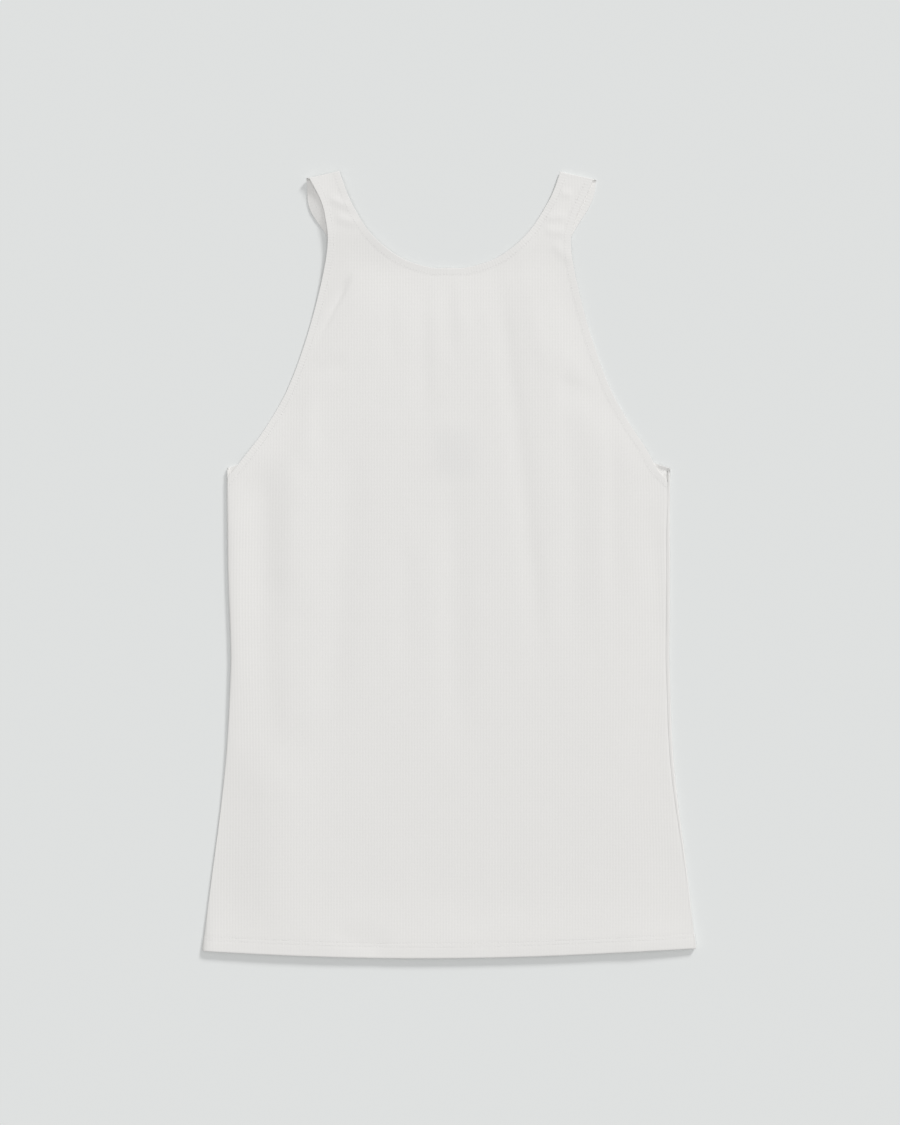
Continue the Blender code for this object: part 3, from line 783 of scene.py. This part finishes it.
def make_binding(name, points, out, place, material):
    """A strip folded round an edge, with the middle and normal of the cloth in it.

    points and out are plan rows along its seam line.
    """
    outs, offs, walls = (np.array(column) for column in zip(*BAND_LANES))
    plan = points[:, None] + out[:, None] * outs[None, :, None]
    middle = place(plan)
    run = np.gradient(middle, axis=0)
    across = np.gradient(middle, axis=1)
    normal = unit(np.cross(across, run))
    normal *= np.sign(np.median(normal[..., 2]))
    outward = unit(across[:, -1])
    walls = np.concatenate([walls, np.full(len(TURN_ANGLES), BINDING), walls[::-1]])
    turn_across = outs[-1] + TURN_LENGTH * (0.5 - TURN_ANGLES / np.pi)
    low_across = 2 * outs[-1] + TURN_LENGTH - outs[::-1]
    across_flat = np.concatenate([outs, turn_across, low_across])
    sheet = Sheet()
    loops, flat = [], []
    for i, along in enumerate(lengths_along(points)):
        top = middle[i] + normal[i] * offs[:, None]
        low = middle[i] - normal[i] * offs[:, None]
        turn = (
            middle[i, -1]
            + np.cos(TURN_ANGLES)[:, None] * outward[i] * BAND_TURN
            + np.sin(TURN_ANGLES)[:, None] * normal[i, -1] * BAND_HALF
        )
        loops.append(np.vstack([top, turn, low[::-1]]))
        flat.append(np.stack([np.full(len(across_flat), along), across_flat], axis=1))
    sheet.add_rows(loops, flat, [walls] * len(loops))
    return sheet.build(name, material), middle, normal


def band_shares(line, start_folded):
    """Even shares of a seam line, closer at its folded ends."""
    length = lengths_along(line)[-1]
    stops = FOLD_STOPS / length
    start = stops[::-1] if start_folded else np.array([0.0])
    middle = even_shares(start[-1], 1 - stops[0], round(length / BAND_STEP))
    return np.concatenate([start, middle, 1 - stops[1:]])


def rolled_band_place(plan):
    """Where the back's right armhole binding lies; its first rows are past the side seam."""
    placed = back_place(plan)
    placed[:ROLL_COLUMNS] = over_roll(plan[:ROLL_COLUMNS])
    return placed


def armhole_binding(name, knots, side, place, material, rolled):
    """A binding from the side seam to the shoulder; side is 1 on the right, -1 on the left."""
    line = seam_line(knots, 1, BAND_WIDTH)
    shares = band_shares(line, start_folded=True)
    points, out = band_frames(line, shares, 1, (0.0, 1.0), SHOULDER)
    if side < 0:
        points = points * (-1, 1)
        out = out * (-1, 1)
    if rolled:
        shift = roll(points[0, 1]) * ROLL_PARTS[::-1]
        over = points[0] - np.stack([shift, 0 * shift], axis=1)
        points = np.vstack([over, points])
        out = np.vstack([np.repeat(out[:1], ROLL_COLUMNS, axis=0), out])
    return make_binding(name, points, out, rolled_band_place if rolled else place, material)


def neck_binding(name, knots, place, material):
    """A binding from shoulder to shoulder."""
    line = seam_line(knots, -1, BAND_WIDTH)
    shares = band_shares(line, start_folded=False)
    points, out = band_frames(line, shares, -1, None, -SHOULDER)
    return make_binding(name, both_halves(points), both_halves(out), place, material)


# ---- stitches ----

def stitch_template():
    """One stitch lying along x: a small bead, drawn out at its ends."""
    bpy.ops.object.select_all(action="DESELECT")
    bpy.ops.mesh.primitive_uv_sphere_add(
        segments=6, ring_count=4, radius=0.5, rotation=(0, np.pi / 2, 0)
    )
    bead = bpy.context.object
    bpy.ops.object.transform_apply(rotation=True)
    corners = np.array([v.co for v in bead.data.vertices])
    faces = [list(f.vertices) for f in bead.data.polygons]
    bpy.data.objects.remove(bead)
    return corners * (STITCH_LENGTH, STITCH_WIDTH, STITCH_HEIGHT), faces


def sew(name, runs, material):
    """Stitches along runs of points on the cloth, each with its normals."""
    corners, faces = stitch_template()
    points, all_faces = [], []
    count = 0
    for path, normals in runs:
        along = lengths_along(path)
        number = int((along[-1] - STITCH_PITCH) / STITCH_PITCH)
        middles = STITCH_PITCH * (np.arange(number) + STITCH_FIRST)
        spots = read_along(path, along, middles)
        up = read_along(normals, along, middles)
        ahead = read_along(path, along, middles + STITCH_AHEAD) - spots
        for spot, n, a in zip(spots, unit(up), unit(ahead)):
            across = unit(np.cross(n, a))
            n = np.cross(a, across)
            placed = corners[:, :1] * a + corners[:, 1:2] * across + corners[:, 2:] * n
            points.append(spot + placed)
            all_faces += [[v + count for v in face] for face in faces]
            count += len(corners)
    return new_piece(name, np.vstack(points), all_faces, material)


def hem_run(half, place, above, side):
    """A row of hem stitches on the outer face; side is 1 on top and -1 beneath."""
    plan = both_halves(half.row(above, half.side_point(above), HEM_STITCH_SHARES))[None]
    middle = place(plan)[0]
    wall = panel_wall(plan)[0]
    normals = np.tile([0.0, 0.0, 1.0], (len(middle), 1)) * side
    return middle + normals * (wall[:, None] / 2 + STITCH_RISE), normals


def band_run(middle, normal, side):
    """The row of stitches near a binding's inner edge; side is 1 on top and -1 beneath."""
    lane = BAND_LANES[BAND_STITCH_LANE]
    run = (slice(BAND_ENDS, -BAND_ENDS), BAND_STITCH_LANE)
    off = lane.off + lane.wall / 2 + STITCH_RISE
    return middle[run] + normal[run] * off * side, normal[run] * side


# ---- finishes ----

OBJECT_OUTPUT = 3  # of a Texture Coordinate node
FLECK_DETAIL = 2.0  # of a noise, unless it says otherwise


def math_operator(operation, reflected=False):
    """An operator that adds a Math node; reflected, it puts its value second."""
    def add_node(value, other):
        return value.finish.math(operation, *([other, value] if reflected else [value, other]))
    return add_node


class Value:
    """A socket of a material; sums and products on it add Math nodes."""

    def __init__(self, finish, socket):
        self.finish = finish
        self.socket = socket

    def math(self, operation, *others):
        return self.finish.math(operation, self, *others)

    __add__, __radd__ = math_operator("ADD"), math_operator("ADD", reflected=True)
    __sub__, __rsub__ = math_operator("SUBTRACT"), math_operator("SUBTRACT", reflected=True)
    __mul__, __rmul__ = math_operator("MULTIPLY"), math_operator("MULTIPLY", reflected=True)
    __truediv__, __rtruediv__ = math_operator("DIVIDE"), math_operator("DIVIDE", reflected=True)


class Finish:
    """A node material that is built up in Python expressions."""

    def __init__(self, name, **constants):
        self.material = bpy.data.materials.new(name)
        self.material.use_nodes = True
        self.tree = self.material.node_tree
        self.shader = self.tree.nodes["Principled BSDF"]
        for socket, value in constants.items():
            self.shader.inputs[socket.replace("_", " ")].default_value = value

    def node(self, kind, settings=None, sockets=None, output=0):
        """Any node, with its settings, what feeds its sockets, and the output to use."""
        node = self.tree.nodes.new(kind)
        for name, value in (settings or {}).items():
            setattr(node, name, value)
        for socket, value in (sockets or {}).items():
            self.feed(node.inputs[socket], value)
        return Value(self, node.outputs[output])

    def math(self, operation, *values):
        return self.node("ShaderNodeMath", {"operation": operation}, dict(enumerate(values)))

    def feed(self, socket, value):
        if isinstance(value, Value):
            self.tree.links.new(value.socket, socket)
        else:
            socket.default_value = value

    def paint(self, **sockets):
        for socket, value in sockets.items():
            self.feed(self.shader.inputs[socket.replace("_", " ")], value)

    def flat(self):
        """The cloth's own flat coordinate, in metres."""
        return self.node("ShaderNodeUVMap", {"uv_map": "knit"})

    def place(self):
        """Where a point lies from the middle of the garment."""
        return self.node("ShaderNodeTexCoord", output=OBJECT_OUTPUT)

    def axes(self, vector):
        """A coordinate's values along its first two axes."""
        return [self.node("ShaderNodeSeparateXYZ", None, {0: vector}, axis) for axis in (0, 1)]

    def flecks(self, vector, scale, detail=FLECK_DETAIL):
        sockets = {"Vector": vector, "Scale": scale, "Detail": detail}
        return self.node("ShaderNodeTexNoise", None, sockets)

    def mix(self, factor, a, b):
        """A colour from a, at factor 0, to b; 6, 7 and 2 are the Mix node's colour sockets."""
        sockets = {0: factor, 6: a, 7: b}
        return self.node("ShaderNodeMix", {"data_type": "RGBA"}, sockets, output=2)

    def bump(self, height, relief):
        sockets = {"Height": height, "Strength": relief.strength, "Distance": relief.depth}
        return self.node("ShaderNodeBump", None, sockets)


# Painted light and shade: the white is painted a little brighter at the shoulders than at the
# hem, in place of the chest catching more of the light.
PAINTED_LIGHT_HIGH, PAINTED_SHADE_LOW = (0.848, 0.839, 0.822, 1.0), (0.820, 0.811, 0.794, 1.0)
SHADE = 0.975  # of the white, in the knit's darker flecks
FLECK_FUZZ, FLECK_SWELL = 0.35, 0.65  # what the flecks take from the fine and broad noise
WHITE = (0.838, 0.829, 0.812, 1.0)
THREAD_WHITE = (0.84, 0.835, 0.82, 1.0)
LABEL_WHITE = (0.66, 0.665, 0.67, 1.0)
LABEL_SHADE = (0.6, 0.605, 0.61, 1.0)
FLOOR_PALE = (0.79, 0.805, 0.80, 1.0)
CLOTH_GLOSS = {"Roughness": 0.92, "Specular_IOR_Level": 0.22, "Sheen_Weight": 0.08,
               "Sheen_Roughness": 0.45}
# The knit: pitches in metres, how far the loops lean, what each part adds to the height,
# and the scales of its noises.
RIB_PITCH, LOOP_PITCH, LOOP_LEAN = 0.0023, 0.0011, 1.6
PANEL_RIB, BINDING_RIB = 0.24, 0.22
LOOP_SHARE, FUZZ_SHARE = 0.12, 0.45
FUZZ_SCALE, FUZZ_DETAIL = 900.0, 3.0
SWELL_SCALE = 40.0
# How strong each bump is, and how deep in metres.
Relief = namedtuple("Relief", "strength depth")
KNIT_RELIEF = Relief(0.25, 0.0004)
THREAD_RELIEF = Relief(0.3, 0.0001)
LABEL_RELIEF = Relief(0.4, 0.0002)
THREAD_TWIST, THREAD_FLECKS = 0.0006, 700.0
LABEL_WARP, LABEL_WEFT, LABEL_FLECKS = 0.0007, 0.0005, 300.0
# Painted shade: the label seen through the thin front is painted into the front's colour as a
# faint grey patch with soft edges, in place of light passing through the jersey.
PAINTED_PATCH_GREY, PATCH_SHARE = (0.70, 0.70, 0.70, 1.0), 0.19
PATCH_REACH = LABEL_REACH * MM * 0.9
PATCH_UP = (LABEL_TOP - LABEL_HEIGHT / 2 - LENGTH / 2) * MM


def waves(value, pitch):
    return (value * (2 * np.pi / pitch)).math("SINE")


def knit_finish(name, rib_share, paints_label_shade=False):
    """Fine rib jersey: soft ribs along the cloth, small loops and a little fuzz."""
    finish = Finish(name, **CLOTH_GLOSS)
    flat = finish.flat()
    across, along = finish.axes(flat)
    leg = waves(across, RIB_PITCH / 2).math("ABSOLUTE")
    loop = (along * (2 * np.pi / LOOP_PITCH) + leg * LOOP_LEAN).math("SINE")
    fuzz = finish.flecks(flat, FUZZ_SCALE, FUZZ_DETAIL)
    swell = finish.flecks(flat, SWELL_SCALE)
    height = waves(across, RIB_PITCH) * rib_share + loop * LOOP_SHARE + fuzz * FUZZ_SHARE
    x, y = finish.axes(finish.place())
    # Painted shading: the white grades from darker at the hem to brighter at the shoulders.
    white = finish.mix(y * (1 / (LENGTH * MM)) + 0.5, PAINTED_SHADE_LOW, PAINTED_LIGHT_HIGH)
    fleck = (fuzz * FLECK_FUZZ + swell * FLECK_SWELL) * (1 - SHADE) + SHADE
    base = finish.node(
        "ShaderNodeVectorMath", {"operation": "SCALE"}, {"Vector": white, "Scale": fleck}
    )
    # Painted shade: a faint grey patch in the front's colour where the label lies beneath.
    if paints_label_shade:
        off_x = (x - LABEL_SHIFT * MM) / PATCH_REACH
        off_y = (y - PATCH_UP) / PATCH_REACH
        painted_patch = (off_x * off_x * off_x * off_x) + (off_y * off_y * off_y * off_y)
        base = finish.mix((painted_patch * -1.0).math("EXPONENT") * PATCH_SHARE, base, PAINTED_PATCH_GREY)
    finish.paint(Base_Color=base, Normal=finish.bump(height, KNIT_RELIEF))
    return finish.material


def thread_finish():
    """Twisted sewing thread."""
    finish = Finish("white_thread", Roughness=0.7, Specular_IOR_Level=0.35, Sheen_Weight=0.1)
    place = finish.place()
    x, y = finish.axes(place)
    base = finish.mix(finish.flecks(place, THREAD_FLECKS), WHITE, THREAD_WHITE)
    twist = waves(x + y, THREAD_TWIST)
    finish.paint(Base_Color=base, Normal=finish.bump(twist, THREAD_RELIEF))
    return finish.material


def label_finish():
    """Plain woven tape with nothing on it."""
    finish = Finish("blank_label", Roughness=0.6, Specular_IOR_Level=0.3)
    flat = finish.flat()
    across, along = finish.axes(flat)
    base = finish.mix(finish.flecks(flat, LABEL_FLECKS), LABEL_SHADE, LABEL_WHITE)
    weave = waves(across, LABEL_WARP) * waves(along, LABEL_WEFT)
    finish.paint(Base_Color=base, Normal=finish.bump(weave, LABEL_RELIEF))
    return finish.material


def floor_finish():
    finish = Finish("pale_floor", Roughness=0.95, Specular_IOR_Level=0.0)
    finish.paint(Base_Color=FLOOR_PALE)
    return finish.material


jersey_front = knit_finish("white_jersey_front", PANEL_RIB, paints_label_shade=True)
jersey_back = knit_finish("white_jersey_back", PANEL_RIB)
binding_knit = knit_finish("white_binding", BINDING_RIB)
thread = thread_finish()
label_weave = label_finish()


# ---- the garment ----

front_half = HalfPanel(FRONT_CUT)
back_half = HalfPanel(BACK_CUT)

front = make_panel("front", front_half, front_place, jersey_front)
back = make_panel("back", back_half, back_place, jersey_back, rolled=over_roll)
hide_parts("front_panel")
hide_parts("back_panel")

bindings = {}
for layer, neck, armhole, place in (
    ("front", FRONT_NECK, FRONT_ARMHOLE, front_place),
    ("back", BACK_NECK, BACK_ARMHOLE, back_place),
):
    bindings[f"neck_band_{layer}"] = neck_binding(
        f"neck_binding_{layer}", neck, place, binding_knit
    )
    for side, word in ((1, "right"), (-1, "left")):
        rolled = layer == "back" and side > 0
        bindings[f"armhole_band_{layer}_{word}"] = armhole_binding(
            f"armhole_binding_{layer}_{word}", armhole, side, place, binding_knit, rolled
        )
for node, (piece, _, _) in bindings.items():
    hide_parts(node)


def make_label():
    """A blank label on the inside of the back, under its neck."""
    x = np.linspace(-LABEL_WIDTH / 2, LABEL_WIDTH / 2, LABEL_COLUMNS)
    up = np.linspace(LABEL_TOP - LABEL_HEIGHT, LABEL_TOP, LABEL_ROWS)
    plan = np.stack(np.meshgrid(x, up), axis=-1)
    edge = np.minimum(LABEL_WIDTH / 2 - np.abs(plan[..., 0]), plan[..., 1] - up[0])
    curl = LABEL_CURL * np.exp(-edge / LABEL_CURL_RUN) * (LABEL_TOP - plan[..., 1]) / LABEL_HEIGHT
    climb = smooth_step(plan[..., 1], LABEL_TOP - LABEL_CLIMB_START, LABEL_TOP - LABEL_CLIMB_FULL)
    height = FLOOR_GAP + JERSEY + LABEL_WALL / 2 + LABEL_GAP + curl + BAND_LIFT * climb
    sheet = Sheet()
    sheet.add_rows(
        np.dstack([plan + (LABEL_SHIFT, 0), height]), plan, [LABEL_WALL] * LABEL_ROWS
    )
    return sheet.build("label", label_weave)


label = make_label()
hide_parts("neck_label")


def band_runs(layer, side):
    """Rows of stitches on the bindings of the front or back."""
    shown = [binding for node, binding in bindings.items() if layer in node]
    return [band_run(middle, normal, side) for _, middle, normal in shown]


def hem_runs(half, place, side):
    """The hem's rows of stitches on the front or back."""
    return [hem_run(half, place, above, side) for above in HEM_STITCH_ROWS]


# The front carries stitches on top, and the back beneath and on its inside.
binding_stitches_front = sew("binding_stitches_front", band_runs("front", 1), thread)
back_runs = band_runs("back", -1) + band_runs("back", 1)
binding_stitches_back = sew("binding_stitches_back", back_runs, thread)
hem_stitches_front = sew("hem_stitches_front", hem_runs(front_half, front_place, 1), thread)
hem_stitches_back = sew("hem_stitches_back", hem_runs(back_half, back_place, -1), thread)

pieces = [front, back, label, *(piece for piece, _, _ in bindings.values()),
          binding_stitches_front, binding_stitches_back, hem_stitches_front, hem_stitches_back]
for piece in pieces:
    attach(piece, "root")

flat_area(front_half)
flat_area(back_half)


# ---- floor, light and camera ----

FLOOR_SIZE = 24.0
FLOOR_LIGHT = 0.745  # how bright the floor shows
FLOOR_GREY = 0.80  # how much light it gives back
KEY_SHARE = 0.27  # of the light on the floor, from the soft key
TOP_SHARE = 0.33  # and from a broad light overhead
TOP_SPREAD = np.radians(60)
KEY_RISE = np.radians(25)
KEY_TURN = np.radians(56)
KEY_SPREAD = np.radians(12)
SUN_AWAY = 3  # where the suns stand, which changes nothing in their light

CAMERA_LENS, SENSOR_WIDTH = 100.0, 36.0
FRAME_HEIGHT = 0.9  # what the picture takes in at the height of the cloth
CLOTH_HEIGHT = 0.005
CAMERA_X, CAMERA_Y = 0.0008, 0.00105


def make_floor():
    """A wide pale floor under the garment."""
    bpy.ops.object.select_all(action="DESELECT")
    bpy.ops.mesh.primitive_plane_add(size=FLOOR_SIZE)
    floor = bpy.context.object
    floor.name = floor.data.name = "floor"
    floor.data.materials.append(floor_finish())
    return floor


def studio_sun(name, share, spread, rise, turn):
    """A soft sun that gives a share of the light on the floor."""
    sun = bpy.data.lights.new(name, "SUN")
    sun.energy = FLOOR_LIGHT * share * np.pi / (FLOOR_GREY * np.sin(rise))
    sun.angle = spread
    placed = bpy.data.objects.new(name, sun)
    bpy.context.scene.collection.objects.link(placed)
    flat = np.cos(rise)
    towards = Vector((flat * np.cos(turn), flat * np.sin(turn), np.sin(rise)))
    placed.rotation_euler = towards.to_track_quat("Z", "Y").to_euler()
    placed.location = towards * SUN_AWAY


make_floor()
studio_sun("key", KEY_SHARE, KEY_SPREAD, KEY_RISE, KEY_TURN)
studio_sun("overhead", TOP_SHARE, TOP_SPREAD, np.radians(90), 0.0)
world = bpy.data.worlds.new("soft_studio")
world.use_nodes = True
sky = world.node_tree.nodes["Background"]
sky.inputs["Color"].default_value = (1.0, 1.0, 1.0, 1.0)
sky.inputs["Strength"].default_value = FLOOR_LIGHT * (1 - KEY_SHARE - TOP_SHARE) / FLOOR_GREY
bpy.context.scene.world = world
bpy.context.scene.view_settings.view_transform = "Standard"

camera = bpy.data.cameras.new("camera")
camera.lens = CAMERA_LENS
camera.sensor_width = SENSOR_WIDTH
camera_object = bpy.data.objects.new("camera", camera)
camera_away = FRAME_HEIGHT * CAMERA_LENS / SENSOR_WIDTH
camera_object.location = (CAMERA_X, CAMERA_Y, CLOTH_HEIGHT + camera_away)
bpy.context.scene.collection.objects.link(camera_object)
bpy.context.scene.camera = camera_object
